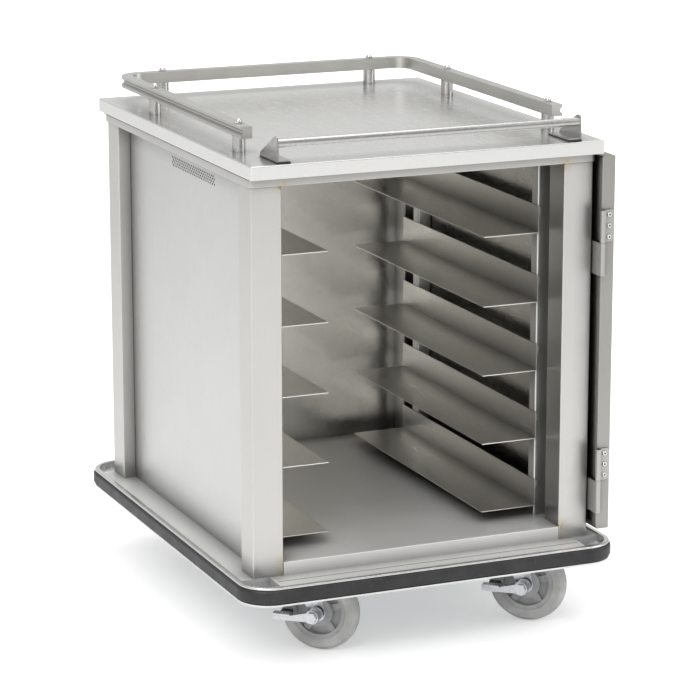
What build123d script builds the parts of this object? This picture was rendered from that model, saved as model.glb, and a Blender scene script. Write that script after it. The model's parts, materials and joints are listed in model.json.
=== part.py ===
"""Insulated meal-tray carrier: a stainless cabinet on four swivel casters.

Millimetres. X runs left to right across the door opening, Y from front to back, Z up.
The origin is on the floor under the middle of the base. The door stands fully open,
turned 270 degrees from shut, so it lies along the right side of the cabinet.
"""
from build123d import *
import os

# --- Cabinet envelope ---
TOP_WIDTH = 700.0
TOP_DEPTH = 832.0
TOP_Z = 937.0
TOP_DROP = 25.0
SHEET = 1.5
SKIN = 1.2

# --- Tray slides ---
TRAY_LEVELS = 5
TRAY_PITCH = 133.35
FIRST_LEDGE_Z = 217.0
LEDGE_INNER_X = 157.5
LEDGE_WEB_X = 271.0
LEDGE_WEB_HEIGHT = 50.0
LEDGE_HALF_LENGTH = 308.0
HOOK_Z = 34.0
HOOK_HEIGHT = 10.0
HOOK_REACH = 7.0
UPRIGHT_YS = (-289.0, 250.0)
UPRIGHT_DEPTH = 26.0

# --- Frame ---
HEADER_HEIGHT = 18.0
HEADER_WIDTH = 25.0
HEADER_RADIUS = 9.0
HEADER_X = 345.0
HEADER_Y = 394.0
POST = 60.0
POST_RADIUS = 3.0
POST_X = 341.0
POST_Y = 389.0
WALL_OUTER_X = 315.0
WALL_INNER_X = 300.0
BACK_OUTER_Y = 388.0
BACK_INNER_Y = 373.0
FOLD_RADIUS = 3.0

# --- Base ---
FLOOR_Z = 195.0
DECK_Z = 170.0
DECK_X = 365.7
DECK_Y = 451.7
DECK_RADIUS = 49.0
NOTCH_X = 310.0
NOTCH_Y = 389.0
PLATE_TOP = 163.0
PLATE = 3.0
TROUGH_HALF = 75.0
TROUGH_X = 280.0
TROUGH_TOP = 187.0

# --- Bumper ---
CHANNEL_X = 366.0
CHANNEL_Y = 452.0
CHANNEL_RADIUS = 50.0
CHANNEL_WALL = 2.0
CHANNEL_LIP = 9.0
CHANNEL_LOW = 136.0
CHANNEL_HIGH = 172.0
LIP_HEIGHT = 3.5
STRIP_REACH = 12.0

# --- Gallery rail ---
RAIL_X = 311.0
RAIL_BACK_Y = 385.0
RAIL_FRONT_Y = -297.0
RAIL_SIZE = 22.0
RAIL_WALL = 1.6
RAIL_BEND = 39.0
GROOVE_DEPTH = 4.5
GROOVE_MOUTH = 12.0
GROOVE_FLOOR = 4.0
STANDOFF = 24.0
STANDOFF_HEIGHT = 29.0
STUD = 8.0
SIDE_STANDOFF_Y = (-258.0, 190.0)
BACK_STANDOFF_X = 225.0

# --- Push handle ---
HANDLE_MID_X = 6.5
BRACKET_X = 301.0
BRACKET = 3.0
BRACKET_FRONT_Y = -405.0
BRACKET_BACK_Y = -318.0
BRACKET_TOP = 983.0
FOOT_WIDTH = 25.0
PAD = 2.0
BAR = 16.0
BAR_Y = -394.0
BAR_Z = 971.5

# --- Door, in its open position ---
DOOR_OUTER_X = 347.0
DOOR_THICKNESS = 26.0
DOOR_FRONT_Y = -415.0
DOOR_WIDTH = 680.0
DOOR_LOW = 190.0
DOOR_HIGH = 907.0
GASKET = 5.0
GASKET_WIDTH = 11.0
GASKET_SIDE_INSET = 14.0
GASKET_LOW = 190.5
GASKET_HIGH = 893.4
PULL_HEIGHT = 120.0
PULL_REACH = 24.0
PULL_BAR = 10.0
PULL_MARGIN = 50.0
PULL_Z = 560.0

# --- Hinges ---
PIN_X = 346.25
PIN_Y = -421.0
PIN = 6.0
PIN_PLAY = 0.05
BARREL = 10.5
LEAF = 2.5
HINGE_HALF = 62.0
HINGE_SPLITS = (745.0, 286.0)
KNUCKLE_GAP = 0.6
LEAF_LENGTH = 76.0
SCREW_PITCH = 21.0
SCREW_HEAD = 9.6
SCREW_RISE = 2.6

# --- Casters ---
CASTER_X = 215.0
CASTER_Y = 311.0
CASTER_HEADING = -42.0
TRAIL = 39.0
WHEEL = 152.4
WHEEL_WIDTH = 32.0
TYRE_INNER = 104.0
HUB = 56.0
AXLE = 12.0
FORK_GAP = 18.0
FORK_LEG = 4.0
CROWN_LOW = 163.7
CROWN_HIGH = 171.7
MOUNT_LOW = 180.0
MOUNT_PLATE = 4.0
MOUNT_BOLT_X = 92.0
MOUNT_BOLT_Y = 67.0
BOLT = 9.5

LEFT, RIGHT = -1, 1
FRONT, REAR = -1, 1
HEADER_LOW = TOP_Z - TOP_DROP - HEADER_HEIGHT

os.makedirs("parts", exist_ok=True)


def save(builder, name):
    """Label a finished piece and write it to its own file."""
    builder.part.label = name
    export_step(builder.part, f"parts/{name}.step")


# --- Top and upper frame ---

with BuildPart() as top_panel:
    with BuildSketch(Plane.XY.offset(TOP_Z - TOP_DROP)):
        RectangleRounded(TOP_WIDTH, TOP_DEPTH, FOLD_RADIUS)
    extrude(amount=TOP_DROP)
    fillet(top_panel.faces().sort_by(Axis.Z)[-1].edges(), FOLD_RADIUS - 1)
    offset(amount=-SHEET, openings=top_panel.faces().sort_by(Axis.Z)[0])
    standoff_places = [(side * RAIL_X, y) for side in (LEFT, RIGHT) for y in SIDE_STANDOFF_Y]
    standoff_places += [(side * BACK_STANDOFF_X, RAIL_BACK_Y) for side in (LEFT, RIGHT)]
    with BuildSketch(Plane.XY.offset(TOP_Z)):
        with Locations(*standoff_places):
            Circle(STUD / 2 + 0.3)
    extrude(amount=-2 * SHEET, mode=Mode.SUBTRACT)
save(top_panel, "top_panel")

with BuildPart() as top_frame:
    with BuildSketch(Plane.XY.offset(HEADER_LOW)):
        RectangleRounded(2 * HEADER_X, 2 * HEADER_Y, HEADER_RADIUS)
        Rectangle(2 * (HEADER_X - HEADER_WIDTH), 2 * (HEADER_Y - HEADER_WIDTH), mode=Mode.SUBTRACT)
    extrude(amount=HEADER_HEIGHT)
    with BuildSketch(Plane.XY.offset(HEADER_LOW + SHEET)):
        RectangleRounded(2 * (HEADER_X - SHEET), 2 * (HEADER_Y - SHEET), HEADER_RADIUS - SHEET)
        Rectangle(2 * (HEADER_X - HEADER_WIDTH + SHEET), 2 * (HEADER_Y - HEADER_WIDTH + SHEET),
                  mode=Mode.SUBTRACT)
    extrude(amount=HEADER_HEIGHT, mode=Mode.SUBTRACT)
    fillet(top_frame.faces().sort_by(Axis.Z)[0].outer_wire().edges(), SHEET)
save(top_frame, "top_frame")


def corner_post(x_side, y_side):
    """Square tube from the base deck to the upper frame."""
    with BuildPart() as post:
        with BuildSketch(Plane.XY.offset(DECK_Z)):
            with Locations((x_side * (POST_X - POST / 2), y_side * (POST_Y - POST / 2))):
                RectangleRounded(POST, POST, POST_RADIUS)
                RectangleRounded(POST - 2 * SHEET, POST - 2 * SHEET, POST_RADIUS - SHEET,
                                 mode=Mode.SUBTRACT)
        extrude(amount=HEADER_LOW - DECK_Z)
    return post


for y_name, y_side in (("front", FRONT), ("rear", REAR)):
    for x_name, x_side in (("left", LEFT), ("right", RIGHT)):
        save(corner_post(x_side, y_side), f"{y_name}_{x_name}_post")


# --- Walls ---

BAY_Y = POST_Y - POST
BAY_X = POST_X - POST
VENT_COLUMNS = 24
VENT_ROWS = 4
VENT_PITCH_Y = 9.6
VENT_PITCH_Z = 5.0
VENT_HOLE = 4.4
VENT_Y = -28.0
VENT_Z = 863.0


def side_panel(side):
    """Outer side skin, recessed between its posts, with a punched vent under the top."""
    columns = [VENT_Y + VENT_PITCH_Y * (column - (VENT_COLUMNS - 1) / 2) for column in range(VENT_COLUMNS)]
    holes = [
        (y + VENT_PITCH_Y / 4 * (1 if row % 2 else -1), VENT_Z + VENT_PITCH_Z * (row - (VENT_ROWS - 1) / 2))
        for row in range(VENT_ROWS)
        for y in columns
    ]
    with BuildPart() as panel:
        with BuildSketch(Plane.YZ.offset(side * WALL_OUTER_X)):
            with Locations((0, (DECK_Z + HEADER_LOW) / 2)):
                Rectangle(2 * BAY_Y, HEADER_LOW - DECK_Z)
            with Locations(*holes):
                Circle(VENT_HOLE / 2, mode=Mode.SUBTRACT)
        extrude(amount=-side * SKIN)
    return panel


def side_liner(side):
    """Inner side skin, facing the trays."""
    with BuildPart() as liner:
        with BuildSketch(Plane.YZ.offset(side * WALL_INNER_X)):
            with Locations((0, (FLOOR_Z + HEADER_LOW) / 2)):
                Rectangle(2 * BAY_Y, HEADER_LOW - FLOOR_Z)
        extrude(amount=side * SKIN)
    return liner


for x_name, x_side in (("left", LEFT), ("right", RIGHT)):
    save(side_panel(x_side), f"{x_name}_side_panel")
    save(side_liner(x_side), f"{x_name}_liner")


def back_sheet(y_face, z_low):
    """Sheet across the back bay, its front or rear face at y_face, growing towards the back."""
    with BuildPart() as sheet:
        with BuildSketch(Plane.XZ.offset(-y_face)):
            with Locations((0, (z_low + HEADER_LOW) / 2)):
                Rectangle(2 * BAY_X, HEADER_LOW - z_low)
        extrude(amount=-SKIN)
    return sheet


save(back_sheet(BACK_OUTER_Y - SKIN, DECK_Z), "back_panel")
save(back_sheet(BACK_INNER_Y, FLOOR_Z), "back_liner")

CEILING_X = HEADER_X - HEADER_WIDTH - 0.3
CEILING_Y = HEADER_Y - HEADER_WIDTH - 0.3

with BuildPart() as ceiling_liner:
    with BuildSketch(Plane.XY.offset(HEADER_LOW)):
        Rectangle(2 * CEILING_X, 2 * CEILING_Y)
    extrude(amount=SKIN)
save(ceiling_liner, "ceiling_liner")

FOAM_GAP = 0.5
STUD_LOW = TOP_Z - 7.0

with BuildPart() as wall_insulation:
    foam_low = DECK_Z + FOAM_GAP
    foam_high = HEADER_LOW - FOAM_GAP
    ceiling_foam_low = HEADER_LOW + SKIN + FOAM_GAP
    with BuildSketch(Plane.XY.offset(foam_low)):
        with Locations(*[(side * (WALL_INNER_X + WALL_OUTER_X) / 2, 0) for side in (LEFT, RIGHT)]):
            Rectangle(WALL_OUTER_X - WALL_INNER_X - 2 * SKIN - 2 * FOAM_GAP, 2 * (BAY_Y - FOAM_GAP))
    extrude(amount=foam_high - foam_low)
    with BuildSketch(Plane.XY.offset(FLOOR_Z)):
        with Locations((0, (BACK_INNER_Y + BACK_OUTER_Y) / 2)):
            Rectangle(2 * (BAY_X - FOAM_GAP), BACK_OUTER_Y - BACK_INNER_Y - 2 * SKIN - 2 * FOAM_GAP)
    extrude(amount=foam_high - FLOOR_Z)
    with BuildSketch(Plane.XY.offset(ceiling_foam_low)):
        Rectangle(2 * (CEILING_X - FOAM_GAP), 2 * (CEILING_Y - FOAM_GAP))
    extrude(amount=STUD_LOW - FOAM_GAP - ceiling_foam_low)
save(wall_insulation, "wall_insulation")


# --- Base ---

with BuildPart() as floor_pan:
    with BuildSketch(Plane.XY.offset(FLOOR_Z - SHEET)):
        Rectangle(2 * BAY_X, 2 * BACK_INNER_Y)
        Rectangle(2 * WALL_INNER_X, 2 * BAY_Y)
        with Locations((0, -(POST_Y + BACK_INNER_Y) / 2)):
            Rectangle(2 * BAY_X, POST_Y - BACK_INNER_Y)
    extrude(amount=SHEET)
    with BuildSketch(Plane.XZ.offset(POST_Y)):
        with Locations((0, (DECK_Z + FLOOR_Z) / 2)):
            Rectangle(2 * BAY_X, FLOOR_Z - DECK_Z)
    extrude(amount=-SHEET)
    sill_edge = floor_pan.edges().filter_by(Axis.X).filter_by_position(Axis.Z, FLOOR_Z - 0.1, FLOOR_Z + 0.1)
    fillet(sill_edge.sort_by(Axis.Y)[0], SHEET * 0.9)
save(floor_pan, "floor_pan")

with BuildPart() as base_deck:
    with BuildSketch(Plane.XY.offset(DECK_Z - SHEET)):
        Rectangle(2 * DECK_X, 2 * DECK_Y)
        with GridLocations(NOTCH_X + DECK_X, NOTCH_Y + DECK_Y, 2, 2):
            Rectangle(DECK_X - NOTCH_X, DECK_Y - NOTCH_Y, mode=Mode.SUBTRACT)
        with Locations((0, -CASTER_Y), (0, CASTER_Y)):
            Rectangle(2 * TROUGH_X + 1, 2 * TROUGH_HALF + 1, mode=Mode.SUBTRACT)
    extrude(amount=SHEET)
    with BuildSketch(Plane.XY.offset(PLATE_TOP)):
        with GridLocations(2 * NOTCH_X - SHEET, NOTCH_Y + DECK_Y, 2, 2):
            Rectangle(SHEET, DECK_Y - NOTCH_Y)
        with GridLocations(NOTCH_X - SHEET + DECK_X, 2 * NOTCH_Y - SHEET, 2, 2):
            Rectangle(DECK_X - NOTCH_X + SHEET, SHEET)
    extrude(amount=DECK_Z - PLATE_TOP)
save(base_deck, "base_deck")

with BuildPart() as chassis_plate:
    with BuildSketch(Plane.XY.offset(PLATE_TOP - PLATE)):
        RectangleRounded(2 * DECK_X, 2 * DECK_Y, DECK_RADIUS)
        with Locations((0, -CASTER_Y), (0, CASTER_Y)):
            Rectangle(2 * TROUGH_X, 2 * TROUGH_HALF, mode=Mode.SUBTRACT)
    extrude(amount=PLATE)
    for y_side in (FRONT, REAR):
        with BuildSketch(Plane.YZ.offset(-TROUGH_X)):
            with Locations((y_side * CASTER_Y, (PLATE_TOP - PLATE + TROUGH_TOP) / 2)):
                Rectangle(2 * TROUGH_HALF, TROUGH_TOP - PLATE_TOP + PLATE)
            with Locations((y_side * CASTER_Y, (PLATE_TOP - PLATE + TROUGH_TOP) / 2 - PLATE / 2)):
                Rectangle(2 * (TROUGH_HALF - PLATE), TROUGH_TOP - PLATE_TOP, mode=Mode.SUBTRACT)
        extrude(amount=2 * TROUGH_X)
    mount_centres = [(x * CASTER_X, y * CASTER_Y) for x in (LEFT, RIGHT) for y in (FRONT, REAR)]
    bolt_places = [
        (x + i * MOUNT_BOLT_X / 2, y + j * MOUNT_BOLT_Y / 2)
        for x, y in mount_centres
        for i in (LEFT, RIGHT)
        for j in (FRONT, REAR)
    ]
    with BuildSketch(Plane.XY.offset(TROUGH_TOP)):
        with Locations(*bolt_places):
            Circle(BOLT / 2 + 0.3)
    extrude(amount=-2 * PLATE, mode=Mode.SUBTRACT)
save(chassis_plate, "chassis_plate")


def ring_outline(reach_out, reach_in):
    """Rounded rectangular ring, its edges given as offsets out from the channel's inner face."""
    RectangleRounded(2 * (CHANNEL_X + reach_out), 2 * (CHANNEL_Y + reach_out), CHANNEL_RADIUS + reach_out)
    RectangleRounded(2 * (CHANNEL_X + reach_in), 2 * (CHANNEL_Y + reach_in), CHANNEL_RADIUS + reach_in,
                     mode=Mode.SUBTRACT)


STRIP_LOW = CHANNEL_LOW + LIP_HEIGHT
STRIP_HEIGHT = CHANNEL_HIGH - CHANNEL_LOW - 2 * LIP_HEIGHT
LIP_ROUNDING = 2.8
STRIP_CROWN = 8.0

with BuildPart() as bumper_channel:
    with BuildSketch(Plane.XY.offset(CHANNEL_LOW)):
        ring_outline(CHANNEL_LIP, 0)
    extrude(amount=CHANNEL_HIGH - CHANNEL_LOW)
    with BuildSketch(Plane.XY.offset(STRIP_LOW)):
        ring_outline(CHANNEL_LIP + 1, CHANNEL_WALL)
    extrude(amount=STRIP_HEIGHT, mode=Mode.SUBTRACT)
    fillet(bumper_channel.faces().sort_by(Axis.Z)[-1].outer_wire().edges(), LIP_ROUNDING)
save(bumper_channel, "bumper_channel")

with BuildPart() as bumper_strip:
    with BuildSketch(Plane.XY.offset(STRIP_LOW)):
        ring_outline(STRIP_REACH, CHANNEL_WALL)
    extrude(amount=STRIP_HEIGHT)
    rims = [face.outer_wire().edges() for face in bumper_strip.faces().filter_by(Axis.Z)]
    fillet([edge for rim in rims for edge in rim], STRIP_CROWN)
save(bumper_strip, "bumper_strip")


# --- Tray slides ---

LEDGE_LEVELS = [FIRST_LEDGE_Z + TRAY_PITCH * level for level in range(TRAY_LEVELS)]
UPRIGHT_GAP = 0.3
SLOT_PLAY = 1.0

UPRIGHT_WIDTH = WALL_INNER_X - UPRIGHT_GAP - LEDGE_WEB_X
UPRIGHT_MID_X = LEDGE_WEB_X + UPRIGHT_WIDTH / 2

with BuildPart() as tray_uprights:
    with BuildSketch(Plane.XY.offset(FLOOR_Z)):
        for side in (LEFT, RIGHT):
            with Locations(*[(side * UPRIGHT_MID_X, y) for y in UPRIGHT_YS]):
                RectangleRounded(UPRIGHT_WIDTH, UPRIGHT_DEPTH, FOLD_RADIUS)
                RectangleRounded(UPRIGHT_WIDTH - 2 * SHEET, UPRIGHT_DEPTH - 2 * SHEET, FOLD_RADIUS / 2,
                                 mode=Mode.SUBTRACT)
            with Locations(*[(side * (WALL_INNER_X - UPRIGHT_GAP), y) for y in UPRIGHT_YS]):
                Rectangle(2 * SHEET + 1, UPRIGHT_DEPTH / 2, mode=Mode.SUBTRACT)
    extrude(amount=HEADER_LOW - FLOOR_Z)
    with BuildSketch(Plane.YZ.offset(-LEDGE_WEB_X - HOOK_REACH)):
        with Locations(*[(y, z + HOOK_Z) for y in UPRIGHT_YS for z in LEDGE_LEVELS]):
            Rectangle(SHEET + SLOT_PLAY, HOOK_HEIGHT + 2 * SLOT_PLAY)
    extrude(amount=2 * (LEDGE_WEB_X + HOOK_REACH), mode=Mode.SUBTRACT)
save(tray_uprights, "tray_uprights")


def ledge_set(side):
    """Five angle ledges: a wide tray flange, a web against the uprights, and hooks into their slots."""
    with BuildPart() as ledges:
        for z in LEDGE_LEVELS:
            with BuildSketch(Plane.XZ.offset(-LEDGE_HALF_LENGTH)):
                with Locations((side * (LEDGE_INNER_X + LEDGE_WEB_X) / 2, z - SHEET / 2)):
                    Rectangle(LEDGE_WEB_X - LEDGE_INNER_X, SHEET)
                with Locations((side * (LEDGE_WEB_X - SHEET / 2), z + (LEDGE_WEB_HEIGHT - SHEET) / 2)):
                    Rectangle(SHEET, LEDGE_WEB_HEIGHT + SHEET)
            extrude(amount=2 * LEDGE_HALF_LENGTH)
            with BuildSketch(Plane.YZ.offset(side * (LEDGE_WEB_X - SHEET))):
                with Locations(*[(y, z + HOOK_Z) for y in UPRIGHT_YS]):
                    Rectangle(SHEET, HOOK_HEIGHT)
            extrude(amount=side * (HOOK_REACH + SHEET))
    return ledges


save(ledge_set(LEFT), "left_ledges")
save(ledge_set(RIGHT), "right_ledges")


# --- Gallery rail ---

RAIL_Z = TOP_Z + STANDOFF_HEIGHT + RAIL_SIZE / 2
RAIL_HALF = RAIL_SIZE / 2


def rail_section(wall):
    """Corners of a square section with a vee groove in its outer face, drawn in by the wall."""
    edge = RAIL_HALF - wall
    mouth = GROOVE_MOUTH / 2 + wall / 2
    root = GROOVE_FLOOR / 2 + wall / 2
    depth = RAIL_HALF - GROOVE_DEPTH - wall
    return [
        (-edge, -edge), (edge, -edge), (edge, -mouth), (depth, -root),
        (depth, root), (edge, mouth), (edge, edge), (-edge, edge),
    ]


with BuildPart() as gallery_rail:
    with BuildLine():
        FilletPolyline(
            (-RAIL_X, RAIL_FRONT_Y, RAIL_Z),
            (-RAIL_X, RAIL_BACK_Y, RAIL_Z),
            (RAIL_X, RAIL_BACK_Y, RAIL_Z),
            (RAIL_X, RAIL_FRONT_Y, RAIL_Z),
            radius=RAIL_BEND,
        )
    with BuildSketch(Plane(origin=(-RAIL_X, RAIL_FRONT_Y, RAIL_Z), x_dir=(-1, 0, 0), z_dir=(0, 1, 0))):
        with BuildLine():
            Polyline(*rail_section(0), close=True)
        make_face()
        with BuildLine():
            Polyline(*rail_section(RAIL_WALL), close=True)
        make_face(mode=Mode.SUBTRACT)
    sweep()
    for side in (LEFT, RIGHT):
        rail_tip = (side * RAIL_X, RAIL_FRONT_Y, RAIL_Z)
        rail_end = Plane(origin=rail_tip, x_dir=(side, 0, 0), z_dir=(0, -side, 0))
        with BuildSketch(rail_end):
            with BuildLine():
                Polyline(*rail_section(0), close=True)
            make_face()
        extrude(amount=-side * RAIL_WALL)
    with BuildSketch(Plane.XY.offset(RAIL_Z + RAIL_HALF)):
        with Locations(*standoff_places):
            Circle(STUD / 2 + 0.3)
    extrude(amount=-RAIL_SIZE, mode=Mode.SUBTRACT)
save(gallery_rail, "gallery_rail")

with BuildPart() as rail_standoffs:
    with BuildSketch(Plane.XY.offset(TOP_Z)):
        with Locations(*standoff_places):
            Circle(STANDOFF / 2)
            Circle(STUD / 2 + 0.3, mode=Mode.SUBTRACT)
    extrude(amount=STANDOFF_HEIGHT)
save(rail_standoffs, "rail_standoffs")

NUT_HEX_HEIGHT = 3.5
NUT_FLATS = 13.0
DOME = 11.0

with BuildPart() as rail_cap_nuts:
    with BuildSketch(Plane.XY.offset(RAIL_Z + RAIL_HALF)):
        with Locations(*standoff_places):
            RegularPolygon(NUT_FLATS / 2, 6, major_radius=False)
    extrude(amount=NUT_HEX_HEIGHT)
    with Locations(*[(x, y, RAIL_Z + RAIL_HALF + NUT_HEX_HEIGHT) for x, y in standoff_places]):
        Sphere(DOME / 2, arc_size1=0, align=(Align.CENTER, Align.CENTER, Align.MIN))
    with BuildSketch(Plane.XY.offset(STUD_LOW)):
        with Locations(*standoff_places):
            Circle(STUD / 2)
    extrude(amount=RAIL_Z + RAIL_HALF - STUD_LOW)
save(rail_cap_nuts, "rail_cap_nuts")


# --- Push handle ---

FOOT_Z = TOP_Z + PAD
FOOT_X = BRACKET_X - FOOT_WIDTH / 2
FOOT_Y = (BRACKET_FRONT_Y + BRACKET_BACK_Y) / 2
BRACKET_LEAN = 5.0
BRACKET_NOSE = 11.0


def handle_bracket(side):
    """Triangular end plate with a foot turned inwards under the bar."""
    with BuildPart() as bracket:
        with BuildSketch(Plane.YZ.offset(HANDLE_MID_X + side * BRACKET_X)):
            with BuildLine():
                FilletPolyline(
                    (BRACKET_FRONT_Y, FOOT_Z),
                    (BRACKET_BACK_Y, FOOT_Z),
                    (BRACKET_BACK_Y - 4, FOOT_Z + 7),
                    (BRACKET_FRONT_Y + BRACKET_LEAN + BRACKET_NOSE, BRACKET_TOP + 1),
                    (BRACKET_FRONT_Y + BRACKET_LEAN, BRACKET_TOP + 1),
                    radius=2,
                    close=True,
                )
            make_face()
        extrude(amount=-side * BRACKET)
        with BuildSketch(Plane.XY.offset(FOOT_Z)):
            with Locations((HANDLE_MID_X + side * FOOT_X, FOOT_Y)):
                Rectangle(FOOT_WIDTH, BRACKET_BACK_Y - BRACKET_FRONT_Y - 8)
        extrude(amount=BRACKET)
    return bracket


save(handle_bracket(LEFT), "left_handle_bracket")
save(handle_bracket(RIGHT), "right_handle_bracket")

with BuildPart() as handle_bar:
    with BuildSketch(Plane.YZ.offset(HANDLE_MID_X - BRACKET_X + BRACKET)):
        with Locations((BAR_Y, BAR_Z)):
            Circle(BAR / 2)
            Circle(BAR / 2 - SHEET, mode=Mode.SUBTRACT)
    extrude(amount=2 * (BRACKET_X - BRACKET))
save(handle_bar, "handle_bar")

with BuildPart() as handle_gaskets:
    with BuildSketch(Plane.XY.offset(TOP_Z)):
        for x_side in (LEFT, RIGHT):
            with Locations((HANDLE_MID_X + x_side * FOOT_X, FOOT_Y)):
                Rectangle(FOOT_WIDTH, BRACKET_BACK_Y - BRACKET_FRONT_Y)
    extrude(amount=PAD)
save(handle_gaskets, "handle_gaskets")


# --- Door ---

DOOR_INNER_X = DOOR_OUTER_X + DOOR_THICKNESS
DOOR_MID_Y = DOOR_FRONT_Y + DOOR_WIDTH / 2
DOOR_MID_Z = (DOOR_LOW + DOOR_HIGH) / 2
DOOR_HEIGHT = DOOR_HIGH - DOOR_LOW


def door_outline(margin):
    """The door's outline in an upright sketch, with the given margin all round."""
    with Locations((DOOR_MID_Y, DOOR_MID_Z)):
        Rectangle(DOOR_WIDTH - 2 * margin, DOOR_HEIGHT - 2 * margin)


with BuildPart() as door_outer_skin:
    with BuildSketch(Plane.YZ.offset(DOOR_OUTER_X)):
        door_outline(0)
    extrude(amount=DOOR_THICKNESS)
    fillet(door_outer_skin.faces().sort_by(Axis.X)[0].edges(), FOLD_RADIUS)
    with BuildSketch(Plane.YZ.offset(DOOR_OUTER_X + SKIN)):
        door_outline(FOLD_RADIUS)
    extrude(amount=DOOR_THICKNESS, mode=Mode.SUBTRACT)
    with BuildSketch(Plane.YZ.offset(DOOR_OUTER_X + FOLD_RADIUS)):
        door_outline(SKIN)
    extrude(amount=DOOR_THICKNESS, mode=Mode.SUBTRACT)
save(door_outer_skin, "door_outer_skin")

with BuildPart() as door_inner_skin:
    with BuildSketch(Plane.YZ.offset(DOOR_INNER_X - SKIN)):
        door_outline(SKIN + 0.2)
    extrude(amount=SKIN)
save(door_inner_skin, "door_inner_skin")

MAGNET_LENGTH = 80.0
MAGNET_DEPTH = 8.0
MAGNET_WIDTH = 14.0
MAGNET_SPREAD = 480.0
MAGNET_GAP = 0.3
MAGNET_Y = DOOR_FRONT_Y + DOOR_WIDTH - 30.0
magnet_places = [(MAGNET_Y, DOOR_MID_Z + side * MAGNET_SPREAD / 2) for side in (-1, 1)]

with BuildPart() as door_magnets:
    with BuildSketch(Plane.YZ.offset(DOOR_INNER_X - SKIN - MAGNET_GAP)):
        with Locations(*magnet_places):
            Rectangle(MAGNET_WIDTH, MAGNET_LENGTH)
    extrude(amount=-MAGNET_DEPTH)
save(door_magnets, "door_magnets")

with BuildPart() as door_insulation:
    with BuildSketch(Plane.YZ.offset(DOOR_OUTER_X + SKIN + FOAM_GAP)):
        door_outline(FOLD_RADIUS + FOAM_GAP)
    extrude(amount=DOOR_THICKNESS - 2 * SKIN - 2 * FOAM_GAP)
    with BuildSketch(Plane.YZ.offset(DOOR_INNER_X)):
        with Locations(*magnet_places):
            Rectangle(MAGNET_WIDTH + 1, MAGNET_LENGTH + 1)
    extrude(amount=-(SKIN + 2 * MAGNET_GAP + MAGNET_DEPTH), mode=Mode.SUBTRACT)
save(door_insulation, "door_insulation")

with BuildPart() as door_gasket:
    with BuildSketch(Plane.YZ.offset(DOOR_INNER_X)):
        with Locations((DOOR_MID_Y, (GASKET_LOW + GASKET_HIGH) / 2)):
            outline = (DOOR_WIDTH - 2 * GASKET_SIDE_INSET, GASKET_HIGH - GASKET_LOW)
            Rectangle(*outline)
            Rectangle(*[length - 2 * GASKET_WIDTH for length in outline], mode=Mode.SUBTRACT)
    extrude(amount=GASKET)
    fillet(door_gasket.faces().sort_by(Axis.X)[-1].edges(), GASKET / 2 - 0.2)
save(door_gasket, "door_gasket")

with BuildPart() as door_pull:
    pull_y = DOOR_FRONT_Y + DOOR_WIDTH - PULL_MARGIN
    pull_x = DOOR_OUTER_X - PULL_REACH + PULL_BAR / 2
    with BuildLine():
        FilletPolyline(
            (DOOR_OUTER_X, pull_y, PULL_Z - PULL_HEIGHT / 2),
            (pull_x, pull_y, PULL_Z - PULL_HEIGHT / 2),
            (pull_x, pull_y, PULL_Z + PULL_HEIGHT / 2),
            (DOOR_OUTER_X, pull_y, PULL_Z + PULL_HEIGHT / 2),
            radius=PULL_BAR,
        )
    with BuildSketch(Plane(origin=(DOOR_OUTER_X, pull_y, PULL_Z - PULL_HEIGHT / 2), z_dir=(-1, 0, 0))):
        Circle(PULL_BAR / 2)
    sweep()
save(door_pull, "door_pull")


# --- Hinges ---

DOOR_LEAF_WIDTH = 24.5
DOOR_LEAF_CORNER = 6.0
DOOR_SCREW_X = PIN_X + 15.0
FRAME_SCREW_Y = PIN_Y + 56.0
frame_spans = [(split - HINGE_HALF, split) for split in HINGE_SPLITS]
door_spans = [(split + KNUCKLE_GAP, split + HINGE_HALF) for split in HINGE_SPLITS]

with BuildPart() as hinge_frame_leaves:
    for low, high in frame_spans:
        with BuildSketch(Plane.XY.offset(low)):
            with Locations((PIN_X, PIN_Y)):
                Circle(BARREL / 2)
            with Locations((POST_X + LEAF / 2, PIN_Y + LEAF_LENGTH / 2)):
                Rectangle(LEAF, LEAF_LENGTH)
            with Locations((PIN_X, PIN_Y)):
                Circle(PIN / 2, mode=Mode.SUBTRACT)
        extrude(amount=high - low)
save(hinge_frame_leaves, "hinge_frame_leaves")

with BuildPart() as hinge_pins:
    for low, _ in frame_spans:
        with BuildSketch(Plane.XY.offset(low)):
            with Locations((PIN_X, PIN_Y)):
                Circle(PIN / 2)
        extrude(amount=2 * HINGE_HALF - BARREL / 2)
save(hinge_pins, "hinge_pins")

with BuildPart() as hinge_door_leaves:
    for low, high in door_spans:
        with BuildSketch(Plane.XZ.offset(-DOOR_FRONT_Y)):
            with Locations((PIN_X + DOOR_LEAF_WIDTH / 2, (low + high) / 2)):
                Rectangle(DOOR_LEAF_WIDTH, high - low)
        extrude(amount=LEAF)
    free_edge = hinge_door_leaves.faces().filter_by(Axis.X).group_by(Axis.X)[-1]
    fillet(free_edge.edges().filter_by(Axis.Y), DOOR_LEAF_CORNER)
    for low, high in door_spans:
        with BuildSketch(Plane.XY.offset(low)):
            with Locations((PIN_X, PIN_Y)):
                Circle(BARREL / 2)
        extrude(amount=high - low)
        with BuildSketch(Plane.XY.offset(low)):
            with Locations((PIN_X, PIN_Y)):
                Circle(PIN / 2 + PIN_PLAY)
        extrude(amount=high - low, mode=Mode.SUBTRACT)
save(hinge_door_leaves, "hinge_door_leaves")


def screw_heads(face, places):
    """Domed screw heads standing on the given face."""
    with BuildPart() as screws:
        with BuildSketch(face):
            with Locations(*places):
                Circle(SCREW_HEAD / 2)
        extrude(amount=SCREW_RISE)
        fillet(screws.edges().group_by(Axis(face.origin, face.z_dir))[-1], SCREW_DOME)
    return screws


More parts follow.
